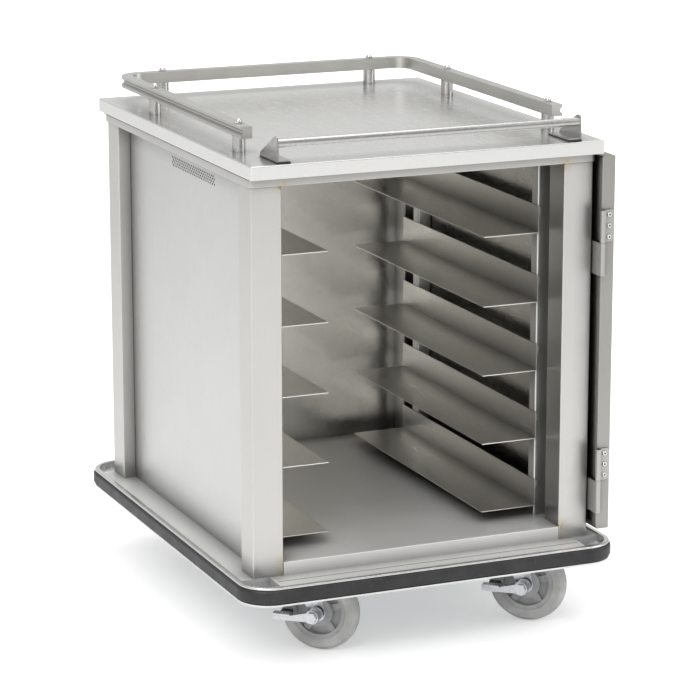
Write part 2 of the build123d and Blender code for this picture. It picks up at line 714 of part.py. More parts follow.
SCREW_DOME = 2.2
screw_rows = [step * SCREW_PITCH for step in (-1, 0, 1)]
frame_leaf_face = Plane.YZ.offset(POST_X + LEAF)
frame_screw_places = [
    (FRAME_SCREW_Y, (low + high) / 2 + row)
    for low, high in frame_spans
    for row in screw_rows
]
save(screw_heads(frame_leaf_face, frame_screw_places), "hinge_frame_screws")
door_leaf_face = Plane.XZ.offset(LEAF - DOOR_FRONT_Y)
door_screw_places = [(DOOR_SCREW_X, (low + high) / 2 + row) for low, high in door_spans for row in screw_rows]
save(screw_heads(door_leaf_face, door_screw_places), "hinge_door_screws")


# --- Casters ---

MOUNT_X = 115.0
MOUNT_Y = 92.0
RACE = 70.0
RACE_LOW = 172.0
KINGPIN = 12.0
KINGPIN_HEAD = 20.0
KINGPIN_LOW = 158.5
KINGPIN_PLAY = 0.05
CROWN_DISC = 68.0
CROWN_BACK = -26.0
CROWN_FRONT = 34.0
LEG_BOSS = 16.0
AXLE_PLAY = 0.05
AXLE_HEAD = 19.0
AXLE_HEAD_THICKNESS = 6.0
RIM_WALL = 7.0
RIM_WIDTH = 28.0
HUB_WIDTH = 36.0
WEB = 6.0
RIB_WIDTH = 13.0
RIB_THICKNESS = 18.0
SPOKES = 5
TYRE_SHOULDER = 8.0
TYRE_BEAD = 2.0
BOLT_HEAD = 14.0
BOLT_HEAD_THICKNESS = 4.0
AXLE_Z = WHEEL / 2

with BuildPart() as caster_plates:
    with BuildSketch(Plane.XY.offset(MOUNT_LOW)):
        with Locations(*mount_centres):
            RectangleRounded(MOUNT_X, MOUNT_Y, FOLD_RADIUS)
        with Locations(*bolt_places):
            Circle(BOLT / 2 + 0.3, mode=Mode.SUBTRACT)
    extrude(amount=MOUNT_PLATE)
    for low, high, diameter in (
        (RACE_LOW, MOUNT_LOW, RACE),
        (CROWN_LOW - 0.3, RACE_LOW, KINGPIN),
        (KINGPIN_LOW, CROWN_LOW - 0.3, KINGPIN_HEAD),
    ):
        with BuildSketch(Plane.XY.offset(low)):
            with Locations(*mount_centres):
                Circle(diameter / 2)
        extrude(amount=high - low)
save(caster_plates, "caster_plates")

with BuildPart() as caster_bolts:
    for low, high, flats in (
        (MOUNT_LOW - BOLT_HEAD_THICKNESS, MOUNT_LOW, BOLT_HEAD),
        (TROUGH_TOP, TROUGH_TOP + BOLT_HEAD_THICKNESS, BOLT_HEAD),
    ):
        with BuildSketch(Plane.XY.offset(low)):
            with Locations(*bolt_places):
                RegularPolygon(flats / 2, 6, major_radius=False)
        extrude(amount=high - low)
    with BuildSketch(Plane.XY.offset(MOUNT_LOW)):
        with Locations(*bolt_places):
            Circle(BOLT / 2)
    extrude(amount=TROUGH_TOP - MOUNT_LOW)
save(caster_bolts, "caster_bolts")


def across(caster, y):
    """Upright plane of a caster: x along the trail, y up, looking out on its brake side."""
    return Plane(origin=caster.from_local_coords((0, y, 0)), x_dir=caster.x_dir, z_dir=-caster.y_dir)


def caster_fork(caster):
    """Crown plate under the race, with two tapered legs down to the axle."""
    with BuildPart() as fork:
        with BuildSketch(caster.offset(CROWN_LOW)):
            Circle(CROWN_DISC / 2)
            with Locations(((CROWN_BACK + CROWN_FRONT) / 2, 0)):
                Rectangle(CROWN_FRONT - CROWN_BACK, 2 * (FORK_GAP + FORK_LEG))
        extrude(amount=CROWN_HIGH - CROWN_LOW)
        for y in (-FORK_GAP, FORK_GAP + FORK_LEG):
            with BuildSketch(across(caster, y)):
                with BuildLine():
                    Polyline(
                        (CROWN_BACK, CROWN_HIGH), (CROWN_FRONT, CROWN_HIGH),
                        (TRAIL + LEG_BOSS, AXLE_Z), (TRAIL - LEG_BOSS, AXLE_Z), close=True,
                    )
                make_face()
                with Locations((TRAIL, AXLE_Z)):
                    Circle(LEG_BOSS)
                    Circle(AXLE / 2, mode=Mode.SUBTRACT)
            extrude(amount=FORK_LEG)
        with BuildSketch(caster.offset(CROWN_LOW)):
            Circle(KINGPIN / 2 + KINGPIN_PLAY)
        extrude(amount=CROWN_HIGH - CROWN_LOW, mode=Mode.SUBTRACT)
    return fork


def caster_axle(caster, reach):
    """Axle bolt with a hexagon head on one side and a nut on the other, reach mm out."""
    inner_end = FORK_GAP + FORK_LEG
    with BuildPart() as axle:
        with BuildSketch(across(caster, inner_end)):
            with Locations((TRAIL, AXLE_Z)):
                Circle(AXLE / 2)
        extrude(amount=inner_end + reach)
        for y in (inner_end + AXLE_HEAD_THICKNESS, -reach):
            with BuildSketch(across(caster, y)):
                with Locations((TRAIL, AXLE_Z)):
                    RegularPolygon(AXLE_HEAD / 2, 6, major_radius=False)
            extrude(amount=AXLE_HEAD_THICKNESS)
    return axle


def caster_wheel(caster):
    """Moulded core: hub, web, ribs and rim."""
    with BuildPart() as wheel:
        with BuildSketch(across(caster, RIM_WIDTH / 2)):
            with Locations((TRAIL, AXLE_Z)):
                Circle(TYRE_INNER / 2)
                Circle(TYRE_INNER / 2 - RIM_WALL, mode=Mode.SUBTRACT)
        extrude(amount=RIM_WIDTH)
        with BuildSketch(across(caster, WEB / 2)):
            with Locations((TRAIL, AXLE_Z)):
                Circle(TYRE_INNER / 2 - 1)
        extrude(amount=WEB)
        with BuildSketch(across(caster, RIB_THICKNESS / 2)):
            with Locations((TRAIL, AXLE_Z)):
                with PolarLocations((HUB + TYRE_INNER) / 4 - RIM_WALL / 2, SPOKES, start_angle=90):
                    Rectangle((TYRE_INNER - HUB) / 2 - RIM_WALL + 4, RIB_WIDTH)
        extrude(amount=RIB_THICKNESS)
        with BuildSketch(across(caster, HUB_WIDTH / 2)):
            with Locations((TRAIL, AXLE_Z)):
                Circle(HUB / 2)
        extrude(amount=HUB_WIDTH)
        with BuildSketch(across(caster, HUB_WIDTH / 2)):
            with Locations((TRAIL, AXLE_Z)):
                Circle(AXLE / 2 + AXLE_PLAY)
        extrude(amount=HUB_WIDTH, mode=Mode.SUBTRACT)
    return wheel


def caster_tyre(caster):
    """Solid tread with a crowned running face, seated on the core's rim."""
    bead = WHEEL_WIDTH / 2 - TYRE_BEAD
    side = WHEEL_WIDTH / 2
    centre = caster.from_local_coords((TRAIL, 0, AXLE_Z))
    with BuildPart() as tyre:
        with BuildSketch(Plane(origin=centre, x_dir=caster.y_dir, z_dir=caster.x_dir)):
            with BuildLine():
                Polyline(
                    (-side, WHEEL / 2 - TYRE_SHOULDER), (-side, TYRE_INNER / 2 + TYRE_BEAD),
                    (-bead, TYRE_INNER / 2), (bead, TYRE_INNER / 2),
                    (side, TYRE_INNER / 2 + TYRE_BEAD), (side, WHEEL / 2 - TYRE_SHOULDER),
                )
                ThreePointArc((side, WHEEL / 2 - TYRE_SHOULDER), (0, WHEEL / 2),
                              (-side, WHEEL / 2 - TYRE_SHOULDER))
            make_face()
        revolve(axis=Axis(centre, caster.y_dir))
    return tyre


BRAKE_NEAR = 27.0
BRAKE_IN = 36.0
BRAKE_OUT = 52.0
BRAKE_HUB = 13.0
PEDAL_END = -38.0
PEDAL_RISE = -6.0
PEDAL_THICKNESS = 10.0
PEDAL_LENGTH = 34.0
SHOE_START = -30.0
SHOE_END = -10.0
SHOE_INNER = 17.6
SHOE_LOW = 65.0
SHOE_HIGH = 76.0


def caster_brake(caster):
    """Side brake: a hub on the axle, a lever out to the pedal, and a shoe beside the tyre."""
    with BuildPart() as brake:
        with BuildSketch(across(caster, -BRAKE_NEAR)):
            with Locations((TRAIL, AXLE_Z)):
                Circle(BRAKE_HUB)
        extrude(amount=BRAKE_OUT - BRAKE_NEAR)
        with BuildSketch(across(caster, -BRAKE_IN)):
            with BuildLine():
                Polyline(
                    (TRAIL, AXLE_Z - PEDAL_THICKNESS), (TRAIL, AXLE_Z + PEDAL_THICKNESS),
                    (PEDAL_END + PEDAL_LENGTH, AXLE_Z + PEDAL_RISE + PEDAL_THICKNESS / 2),
                    (PEDAL_END, AXLE_Z + PEDAL_RISE + PEDAL_THICKNESS / 2),
                    (PEDAL_END, AXLE_Z + PEDAL_RISE - PEDAL_THICKNESS / 2), close=True,
                )
            make_face()
        extrude(amount=BRAKE_OUT - BRAKE_IN)
        with BuildSketch(across(caster, -SHOE_INNER)):
            with Locations(((SHOE_START + SHOE_END) / 2, (SHOE_LOW + SHOE_HIGH) / 2)):
                RectangleRounded(SHOE_END - SHOE_START, SHOE_HIGH - SHOE_LOW, FOLD_RADIUS)
        extrude(amount=BRAKE_OUT - SHOE_INNER)
        with BuildSketch(across(caster, -BRAKE_NEAR)):
            with Locations((TRAIL, AXLE_Z)):
                Circle(AXLE / 2 + AXLE_PLAY)
        extrude(amount=BRAKE_OUT - BRAKE_NEAR, mode=Mode.SUBTRACT)
    return brake


BRAKED_REACH = BRAKE_OUT + 1.0
PLAIN_REACH = FORK_GAP + FORK_LEG

for y_name, y_side in (("front", FRONT), ("rear", REAR)):
    for x_name, x_side in (("left", LEFT), ("right", RIGHT)):
        corner = f"{y_name}_{x_name}"
        kingpin = Plane(origin=(x_side * CASTER_X, y_side * CASTER_Y, 0)).rotated((0, 0, CASTER_HEADING))
        save(caster_fork(kingpin), f"{corner}_fork")
        save(caster_axle(kingpin, BRAKED_REACH if y_name == "front" else PLAIN_REACH), f"{corner}_axle")
        save(caster_wheel(kingpin), f"{corner}_wheel")
        save(caster_tyre(kingpin), f"{corner}_tyre")
        if y_name == "front":
            save(caster_brake(kingpin), f"{corner}_brake")
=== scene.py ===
import json
import math

import bmesh
import bpy
from mathutils import Matrix, Vector


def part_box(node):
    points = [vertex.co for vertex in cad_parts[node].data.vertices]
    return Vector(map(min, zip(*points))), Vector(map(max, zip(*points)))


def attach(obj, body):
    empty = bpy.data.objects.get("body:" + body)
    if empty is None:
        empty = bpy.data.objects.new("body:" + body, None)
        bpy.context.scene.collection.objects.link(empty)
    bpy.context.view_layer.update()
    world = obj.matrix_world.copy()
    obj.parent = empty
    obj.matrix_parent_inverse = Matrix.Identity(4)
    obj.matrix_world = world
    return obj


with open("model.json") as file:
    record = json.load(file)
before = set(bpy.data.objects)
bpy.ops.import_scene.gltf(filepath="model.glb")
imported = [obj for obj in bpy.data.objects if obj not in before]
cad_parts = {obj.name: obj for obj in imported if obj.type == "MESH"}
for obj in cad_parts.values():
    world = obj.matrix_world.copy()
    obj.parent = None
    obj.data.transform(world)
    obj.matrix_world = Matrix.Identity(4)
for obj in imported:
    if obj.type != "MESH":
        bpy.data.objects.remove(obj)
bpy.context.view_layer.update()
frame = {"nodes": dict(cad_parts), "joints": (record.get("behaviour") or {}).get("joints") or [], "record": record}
nodes = frame["nodes"]
record = frame["record"]

MM = 0.001


# --- Material building blocks ---

def new_material(name, color, metallic=0.0, roughness=0.5, **sockets):
    """A Principled material and its tree; further sockets are given by name with _ for spaces."""
    paint = bpy.data.materials.new(name)
    paint.use_nodes = True
    shader = paint.node_tree.nodes["Principled BSDF"]
    shader.inputs["Base Color"].default_value = (*color, 1)
    shader.inputs["Metallic"].default_value = metallic
    shader.inputs["Roughness"].default_value = roughness
    for socket, value in sockets.items():
        shader.inputs[socket.replace("_", " ")].default_value = value
    return paint, paint.node_tree, shader


def noise(tree, scale, detail=2.0, stretch=(1, 1, 1), distortion=0.0):
    """Noise over the row frame; scale is per metre, and stretch multiplies it along X, Y and Z."""
    coords = tree.nodes.new("ShaderNodeTexCoord")
    mapping = tree.nodes.new("ShaderNodeMapping")
    mapping.inputs["Scale"].default_value = [scale * factor for factor in stretch]
    texture = tree.nodes.new("ShaderNodeTexNoise")
    texture.inputs["Scale"].default_value = 1.0
    texture.inputs["Detail"].default_value = detail
    texture.inputs["Distortion"].default_value = distortion
    tree.links.new(coords.outputs["Object"], mapping.inputs["Vector"])
    tree.links.new(mapping.outputs["Vector"], texture.inputs["Vector"])
    return texture.outputs["Fac"]


def remap(tree, value, from_low, from_high, to_low, to_high):
    """The value taken from one range to another and held inside it."""
    step = tree.nodes.new("ShaderNodeMapRange")
    step.inputs["From Min"].default_value = from_low
    step.inputs["From Max"].default_value = from_high
    step.inputs["To Min"].default_value = to_low
    step.inputs["To Max"].default_value = to_high
    tree.links.new(value, step.inputs["Value"])
    return step.outputs["Result"]


def calculate(tree, operation, first, second):
    """Math node on two values, each a socket or a number."""
    step = tree.nodes.new("ShaderNodeMath")
    step.operation = operation
    for socket, value in zip(step.inputs, (first, second)):
        if isinstance(value, (int, float)):
            socket.default_value = value
        else:
            tree.links.new(value, socket)
    return step.outputs[0]


def blend_colors(tree, factor, first, second):
    """Mixes two colours, each a socket or an rgb triple."""
    mix = tree.nodes.new("ShaderNodeMixRGB")
    tree.links.new(factor, mix.inputs["Fac"])
    for socket, value in ((mix.inputs["Color1"], first), (mix.inputs["Color2"], second)):
        if isinstance(value, tuple):
            socket.default_value = (*value, 1)
        else:
            tree.links.new(value, socket)
    return mix.outputs["Color"]


def bump(tree, shader, height, distance):
    """Relief of the given depth in metres from a height value."""
    step = tree.nodes.new("ShaderNodeBump")
    step.inputs["Distance"].default_value = distance
    tree.links.new(height, step.inputs["Height"])
    tree.links.new(step.outputs["Normal"], shader.inputs["Normal"])


def near(tree, points, radius):
    """1 at the given points, falling to 0 at the radius; the points are mirrored in X."""
    coords = tree.nodes.new("ShaderNodeTexCoord")
    mirror = tree.nodes.new("ShaderNodeVectorMath")
    mirror.operation = "ABSOLUTE"
    split = tree.nodes.new("ShaderNodeSeparateXYZ")
    whole = tree.nodes.new("ShaderNodeSeparateXYZ")
    join = tree.nodes.new("ShaderNodeCombineXYZ")
    tree.links.new(coords.outputs["Object"], mirror.inputs[0])
    tree.links.new(mirror.outputs[0], split.inputs[0])
    tree.links.new(coords.outputs["Object"], whole.inputs[0])
    tree.links.new(split.outputs["X"], join.inputs["X"])
    tree.links.new(whole.outputs["Y"], join.inputs["Y"])
    tree.links.new(whole.outputs["Z"], join.inputs["Z"])
    total = None
    for point in points:
        distance = tree.nodes.new("ShaderNodeVectorMath")
        distance.operation = "DISTANCE"
        distance.inputs[1].default_value = point
        tree.links.new(join.outputs[0], distance.inputs[0])
        closeness = remap(tree, distance.outputs["Value"], 0, radius, 1, 0)
        total = closeness if total is None else calculate(tree, "MAXIMUM", total, closeness)
    return total


def crevice_shade_mask(tree, reach):
    """Mask for painted shade: 1 in the open, falling to 0 in corners and narrow gaps."""
    shading = tree.nodes.new("ShaderNodeAmbientOcclusion")
    shading.samples = 6
    shading.inputs["Distance"].default_value = reach
    return remap(tree, shading.outputs["AO"], 0.45, 0.97, 0, 1)


# --- Camera, stage and light ---

CAMERA_AT = (-2.277, -5.356, 1.909)
CAMERA_YAW = 23.19
CAMERA_PITCH = 13.8
CAMERA_LENS = 157.8
SENSOR = 36.0

# The floor's glow by distance from the object, in metres.
GLOW_REACH = (0.6, 5.0)
GLOW_STRENGTH = (0.34, 0.7)

# The surroundings' colour below, a little above the horizon, and overhead.
HORIZON = (0.72, 0.72, 0.71)
DIP = (0.62, 0.62, 0.61)
DIP_PLACE = 0.35
ZENITH = (1.0, 1.0, 1.0)
WORLD_STRENGTH = 1.16

# Brightness of the surroundings by heading: 0 and 1 are -X, 0.25 is -Y, 0.5 is +X, 0.75 is +Y.
BANDS = (
    (0.01, 0.85), (0.10, 1.05), (0.20, 1.0), (0.27, 0.85), (0.33, 0.55), (0.38, 0.9),
    (0.48, 0.75), (0.56, 0.40), (0.64, 0.85), (0.76, 0.9), (0.86, 0.45), (0.94, 0.75), (0.99, 0.85),
)


def add_camera():
    data = bpy.data.cameras.new("view")
    data.sensor_width = SENSOR
    data.lens = CAMERA_LENS
    data.dof.use_dof = False
    camera = bpy.data.objects.new("view", data)
    camera.location = CAMERA_AT
    camera.rotation_euler = (math.radians(90 - CAMERA_PITCH), 0, math.radians(-CAMERA_YAW))
    bpy.context.scene.collection.objects.link(camera)
    bpy.context.scene.camera = camera
    bpy.context.scene.view_settings.view_transform = "Standard"


def add_floor():
    """White ground, glowing to the camera alone, so that it lights nothing; more so far from the object."""
    size = 30.0
    mesh = bpy.data.meshes.new("floor")
    corners = [(-size, -size, 0), (size, -size, 0), (size, size, 0), (-size, size, 0)]
    mesh.from_pydata(corners, [], [(0, 1, 2, 3)])
    floor = bpy.data.objects.new("floor", mesh)
    bpy.context.scene.collection.objects.link(floor)
    paint, tree, shader = new_material("floor", (0.93, 0.93, 0.925), roughness=0.75, Specular_IOR_Level=0.15)
    shader.inputs["Emission Color"].default_value = (1, 1, 1, 1)
    coords = tree.nodes.new("ShaderNodeTexCoord")
    reach = tree.nodes.new("ShaderNodeVectorMath")
    reach.operation = "LENGTH"
    path = tree.nodes.new("ShaderNodeLightPath")
    tree.links.new(coords.outputs["Object"], reach.inputs[0])
    glow = remap(tree, reach.outputs["Value"], *GLOW_REACH, *GLOW_STRENGTH)
    seen = calculate(tree, "MULTIPLY", glow, path.outputs["Is Camera Ray"])
    tree.links.new(seen, shader.inputs["Emission Strength"])
    mesh.materials.append(paint)


def add_area(name, at, aim, size, power):
    """Soft panel light at a point, turned to aim at another."""
    data = bpy.data.lights.new(name, "AREA")
    data.shape = "RECTANGLE"
    data.size, data.size_y = size
    data.energy = power
    light = bpy.data.objects.new(name, data)
    light.location = at
    light.rotation_euler = (Vector(aim) - Vector(at)).to_track_quat("-Z", "Y").to_euler()
    bpy.context.scene.collection.objects.link(light)


def add_ramp(tree, factor, stops):
    """Colour ramp over a factor, its stops given as (place, rgb)."""
    ramp = tree.nodes.new("ShaderNodeValToRGB")
    elements = ramp.color_ramp.elements
    for place, color in stops:
        elements.new(place).color = (*color, 1)
    elements.remove(elements[-1])
    elements.remove(elements[0])
    tree.links.new(factor, ramp.inputs["Fac"])
    return ramp.outputs["Color"]


def add_world():
    """Pale surroundings with dark upright bands for the steel to reflect; white behind the object."""
    world = bpy.data.worlds.new("studio")
    world.use_nodes = True
    bpy.context.scene.world = world
    tree = world.node_tree
    coords = tree.nodes.new("ShaderNodeTexCoord")
    split = tree.nodes.new("ShaderNodeSeparateXYZ")
    tree.links.new(coords.outputs["Generated"], split.inputs[0])
    height = remap(tree, split.outputs["Z"], -0.2, 1.0, 0, 1)
    tint = tree.nodes.new("ShaderNodeValToRGB")
    for stop, color in zip(tint.color_ramp.elements, (HORIZON, ZENITH)):
        stop.color = (*color, 1)
    tint.color_ramp.elements.new(DIP_PLACE).color = (*DIP, 1)
    tree.links.new(height, tint.inputs["Fac"])
    turn = calculate(tree, "ARCTAN2", split.outputs["Y"], split.outputs["X"])
    around = remap(tree, turn, -math.pi, math.pi, 0, 1)
    bands = add_ramp(tree, around, [(place, (level, level, level)) for place, level in BANDS])
    shade = tree.nodes.new("ShaderNodeMixRGB")
    shade.blend_type = "MULTIPLY"
    shade.inputs["Fac"].default_value = 1.0
    tree.links.new(tint.outputs["Color"], shade.inputs["Color1"])
    tree.links.new(bands, shade.inputs["Color2"])
    path = tree.nodes.new("ShaderNodeLightPath")
    sky = blend_colors(tree, path.outputs["Is Camera Ray"], shade.outputs["Color"], (1.0, 1.0, 1.0))
    background = tree.nodes["Background"]
    tree.links.new(sky, background.inputs["Color"])
    background.inputs["Strength"].default_value = WORLD_STRENGTH


add_camera()
add_floor()
add_world()
add_area("key", (-3.2, -3.4, 4.2), (0, 0, 0.4), (3.2, 2.4), 100)
add_area("fill", (3.6, -2.6, 2.6), (0, 0, 0.5), (2.6, 2.6), 30)
add_area("overhead", (0.2, 0.6, 4.4), (0, 0, 0.5), (3.6, 3.6), 60)


# --- Materials ---

# Reach of the painted shade in corners and gaps, then the weld tint's reach and colours.
CREVICE_SHADE_REACH = 0.045
WELD_REACH = 0.022
WELD_STRAW = (0.72, 0.55, 0.30)
WELD_BURN = (0.16, 0.10, 0.06)


def scaled(color, factor):
    return tuple(min(1.0, channel * factor) for channel in color)


def grain_stretch(along, ratio=0.012):
    """Stretch of a noise into lines along one axis."""
    return tuple(ratio if axis == along else 1.0 for axis in "xyz")


def brushed_steel(name, color, roughness, along="z", grain=1400.0, relief=0.00002, patch=0.05, welds=(),
                  metallic=1.0):
    """Satin sheet: fine lines along one axis, soft patches of sheen, handling marks, weld tint and painted shade
    in corners and gaps.
    """
    paint, tree, shader = new_material(name, color, metallic=metallic, roughness=roughness)
    lines = noise(tree, grain, 2.0, grain_stretch(along))
    wide_lines = noise(tree, grain * 0.16, 2.0, grain_stretch(along, 0.02))
    clouds = noise(tree, 5.0, 3.0)
    marks = noise(tree, 38.0, 5.0, distortion=0.8)
    fine = calculate(tree, "MULTIPLY", lines, 0.4)
    broad = calculate(tree, "MULTIPLY", clouds, 0.6)
    shade = remap(tree, calculate(tree, "ADD", fine, broad), 0.3, 0.7, 0, 1)
    tone = blend_colors(tree, shade, scaled(color, 1 - 1.5 * patch), scaled(color, 1 + patch))
    if welds:
        ring = near(tree, welds, WELD_REACH)
        tatters = remap(tree, noise(tree, 160.0, 4.0), 0.3, 0.62, 0.2, 1.0)
        ragged = calculate(tree, "MULTIPLY", ring, tatters)
        straw = remap(tree, ragged, 0.05, 0.55, 0, 0.55)
        tone = blend_colors(tree, straw, tone, WELD_STRAW)
        core = remap(tree, ragged, 0.5, 0.9, 0, 0.85)
        tone = blend_colors(tree, core, tone, WELD_BURN)
    # Painted shade: the base colour darkens towards 0.42 of itself in corners and narrow gaps.
    tone = blend_colors(tree, crevice_shade_mask(tree, CREVICE_SHADE_REACH), scaled(color, 0.42), tone)
    tree.links.new(tone, shader.inputs["Base Color"])
    line_sheen = remap(tree, lines, 0.25, 0.75, -0.05, 0.07)
    mark_sheen = remap(tree, marks, 0.45, 0.75, 0.0, 0.16 * roughness)
    sheen = calculate(tree, "ADD", line_sheen, mark_sheen)
    tree.links.new(calculate(tree, "ADD", sheen, roughness), shader.inputs["Roughness"])
    height = calculate(tree, "ADD", lines, calculate(tree, "MULTIPLY", wide_lines, 0.8))
    bump(tree, shader, height, relief)
    return paint


def smooth_metal(name, color, roughness, speckle=0.04):
    """Polished or plated metal with faint spots and wipe marks."""
    paint, tree, shader = new_material(name, color, metallic=1.0, roughness=roughness)
    spots = noise(tree, 260.0, 4.0)
    wipes = noise(tree, 30.0, 4.0, distortion=1.2)
    tone = blend_colors(tree, remap(tree, spots, 0.4, 0.75, 0, 1), color, scaled(color, 0.86))
    sheen = remap(tree, wipes, 0.3, 0.75, roughness - speckle, roughness + 2 * speckle)
    tree.links.new(tone, shader.inputs["Base Color"])
    tree.links.new(sheen, shader.inputs["Roughness"])
    bump(tree, shader, spots, 0.00001)
    return paint


def rubber(name, color, roughness, relief=0.00006, scuff=(0.35, 0.34, 0.33), scuffed=0.0, specular=0.35):
    """Moulded rubber or vinyl: pebbled skin, cloudy sheen and paler scuffs."""
    paint, tree, shader = new_material(name, color, roughness=roughness, Specular_IOR_Level=specular)
    pebble = noise(tree, 1500.0, 3.0)
    clouds = noise(tree, 24.0, 4.0)
    streaks = noise(tree, 90.0, 6.0, (1, 1, 0.35), 1.5)
    pale = tuple(channel * 1.35 + 0.01 for channel in color)
    tone = blend_colors(tree, remap(tree, clouds, 0.35, 0.7, 0, 1), color, pale)
    if scuffed:
        tone = blend_colors(tree, remap(tree, streaks, 0.60, 0.74, 0, scuffed), tone, scuff)
    sheen = remap(tree, clouds, 0.3, 0.7, roughness - 0.08, roughness + 0.1)
    tree.links.new(tone, shader.inputs["Base Color"])
    tree.links.new(sheen, shader.inputs["Roughness"])
    bump(tree, shader, calculate(tree, "ADD", pebble, calculate(tree, "MULTIPLY", clouds, 0.5)), relief)
    return paint


def foam_board(name):
    """Pale yellow foam with visible cells."""
    paint, tree, shader = new_material(name, (0.80, 0.74, 0.55), roughness=0.9)
    cells = noise(tree, 900.0, 3.0)
    tone = blend_colors(tree, remap(tree, cells, 0.3, 0.7, 0, 1), (0.62, 0.55, 0.38), (0.84, 0.79, 0.62))
    tree.links.new(tone, shader.inputs["Base Color"])
    bump(tree, shader, cells, 0.0003)
    return paint


POST_INNER_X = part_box("front_right_post")[0].x
POST_FACE_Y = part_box("front_left_post")[0].y
HEADER_LOW_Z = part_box("top_frame")[0].z
FLOOR_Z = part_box("floor_pan")[1].z
DECK_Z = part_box("base_deck")[1].z
frame_welds = [
    (POST_INNER_X, POST_FACE_Y, HEADER_LOW_Z),
    (POST_INNER_X, POST_FACE_Y, FLOOR_Z - 2 * MM),
    (POST_INNER_X, POST_FACE_Y, DECK_Z),
]

STEEL = (0.68, 0.67, 0.65)
paints = {
    "satin_steel": brushed_steel("satin_steel", STEEL, 0.32, relief=0.00001, patch=0.03, welds=frame_welds),
    "side_steel": brushed_steel("side_steel", (0.71, 0.71, 0.70), 0.30, relief=0.000006, patch=0.02),
    "top_steel": brushed_steel(
        "top_steel", (0.92, 0.915, 0.90), 0.22, along="y", grain=900.0, relief=0.0000006, patch=0.012),
    "liner_steel": brushed_steel(
        "liner_steel", (0.74, 0.73, 0.69), 0.28, along="y", relief=0.00001, patch=0.015),
    # Painted shade: the door's steel is much darker than the other steel because its outer face lies against the
    # cabinet side, in shadow.
    "door_steel": brushed_steel("door_steel", (0.43, 0.42, 0.40), 0.30),
    "deck_steel": brushed_steel("deck_steel", (0.90, 0.895, 0.88), 0.36, along="x", metallic=0.5),
    "upright_steel": brushed_steel("upright_steel", (0.90, 0.90, 0.885), 0.40, patch=0.02),
    "handle_steel": smooth_metal("handle_steel", (0.56, 0.555, 0.54), 0.20, 0.05),
    "hinge_steel": brushed_steel("hinge_steel", (0.54, 0.53, 0.51), 0.30, relief=0.000006, patch=0.03),
    "ledge_steel": brushed_steel("ledge_steel", (0.95, 0.93, 0.90), 0.30, along="y", patch=0.02),
    "rail_aluminium": brushed_steel(
        "rail_aluminium", (0.62, 0.615, 0.59), 0.34, along="y", grain=2000.0, patch=0.10),
    "channel_aluminium": smooth_metal("channel_aluminium", (0.84, 0.84, 0.83), 0.22),
    "polished_steel": smooth_metal("polished_steel", (0.82, 0.82, 0.81), 0.10, 0.03),
    "zinc_steel": smooth_metal("zinc_steel", (0.74, 0.76, 0.79), 0.24),
    "brake_steel": smooth_metal("brake_steel", (0.74, 0.75, 0.77), 0.26),
    "magnet": smooth_metal("magnet", (0.2, 0.2, 0.2), 0.5),
    "bumper_vinyl": rubber("bumper_vinyl", (0.022, 0.022, 0.024), 0.40, scuffed=0.06, specular=0.4),
    "seal_rubber": rubber("seal_rubber", (0.022, 0.022, 0.022), 0.55),
    "door_seal": rubber("door_seal", (0.30, 0.30, 0.29), 0.6),
    "caster_tyre": rubber("caster_tyre", (0.42, 0.42, 0.415), 0.55, scuff=(0.24, 0.23, 0.22), scuffed=0.4),
    "wheel_core": rubber("wheel_core", (0.36, 0.36, 0.365), 0.40, relief=0.00003),
    # Dark grey for the painted shade lines under the top's edges and along the joints.
    "joint_shade": rubber("joint_shade", (0.07, 0.068, 0.065), 0.5),
    "foam": foam_board("foam"),
}
special = {
    "left_side_panel": "side_steel", "right_side_panel": "side_steel", "back_panel": "side_steel",
    "base_deck": "deck_steel", "floor_pan": "deck_steel", "door_outer_skin": "door_steel",
    "tray_uprights": "upright_steel", "handle_bar": "handle_steel", "left_handle_bracket": "handle_steel",
    "right_handle_bracket": "handle_steel", "rail_standoffs": "handle_steel",
    "hinge_frame_leaves": "hinge_steel", "hinge_door_leaves": "hinge_steel",
    "left_ledges": "ledge_steel", "right_ledges": "ledge_steel",
}


def paint_nodes():
    """Gives each CAD node the paint of its record slot, or the closer one named above."""
    for entry in record["subparts"]:
        name = entry["node"]
        paint = paints[special.get(name, entry["material_slot"])]
        mesh = nodes[name].data
        mesh.materials.clear()
        mesh.materials.append(paint)


paint_nodes()


# --- Added pieces ---

def finish_piece(name, mesh, paint, body):
    """Places a mesh as a painted piece riding on a body."""
    piece = bpy.data.objects.new(name, mesh)
    bpy.context.scene.collection.objects.link(piece)
    mesh.materials.append(paints[paint])
    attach(piece, body)


def block(builder, low, high, matrix):
    """Adds a box between two corners to a bmesh, placed by a matrix."""
    size = Vector(high) - Vector(low)
    place = Matrix.Translation((Vector(high) + Vector(low)) / 2) @ Matrix.Diagonal((*size, 1))
    bmesh.ops.create_cube(builder, size=1, matrix=matrix @ place)


def ordered(first, second):
    """The low and high corners of the box between any two opposite corners."""
    pairs = list(zip(first, second))
    return tuple(map(min, pairs)), tuple(map(max, pairs))


def blocks_piece(name, boxes, paint, body, rounding, matrix=Matrix.Identity(4)):
    """A piece of one or more rounded boxes, each given by two opposite corners."""
    builder = bmesh.new()
    for first, second in boxes:
        block(builder, *ordered(first, second), matrix)
    edges = list(builder.edges)
    bmesh.ops.bevel(builder, geom=edges, offset=rounding, segments=3, affect="EDGES", profile=0.5)
    mesh = bpy.data.meshes.new(name)
    builder.to_mesh(mesh)
    builder.free()
    for face in mesh.polygons:
        face.use_smooth = True
    finish_piece(name, mesh, paint, body)


VENT_SPAN_Y = (-153 * MM, 97 * MM)
VENT_SPAN_Z = (848 * MM, 878 * MM)
SHADE_SHEET_THICKNESS = 0.3 * MM


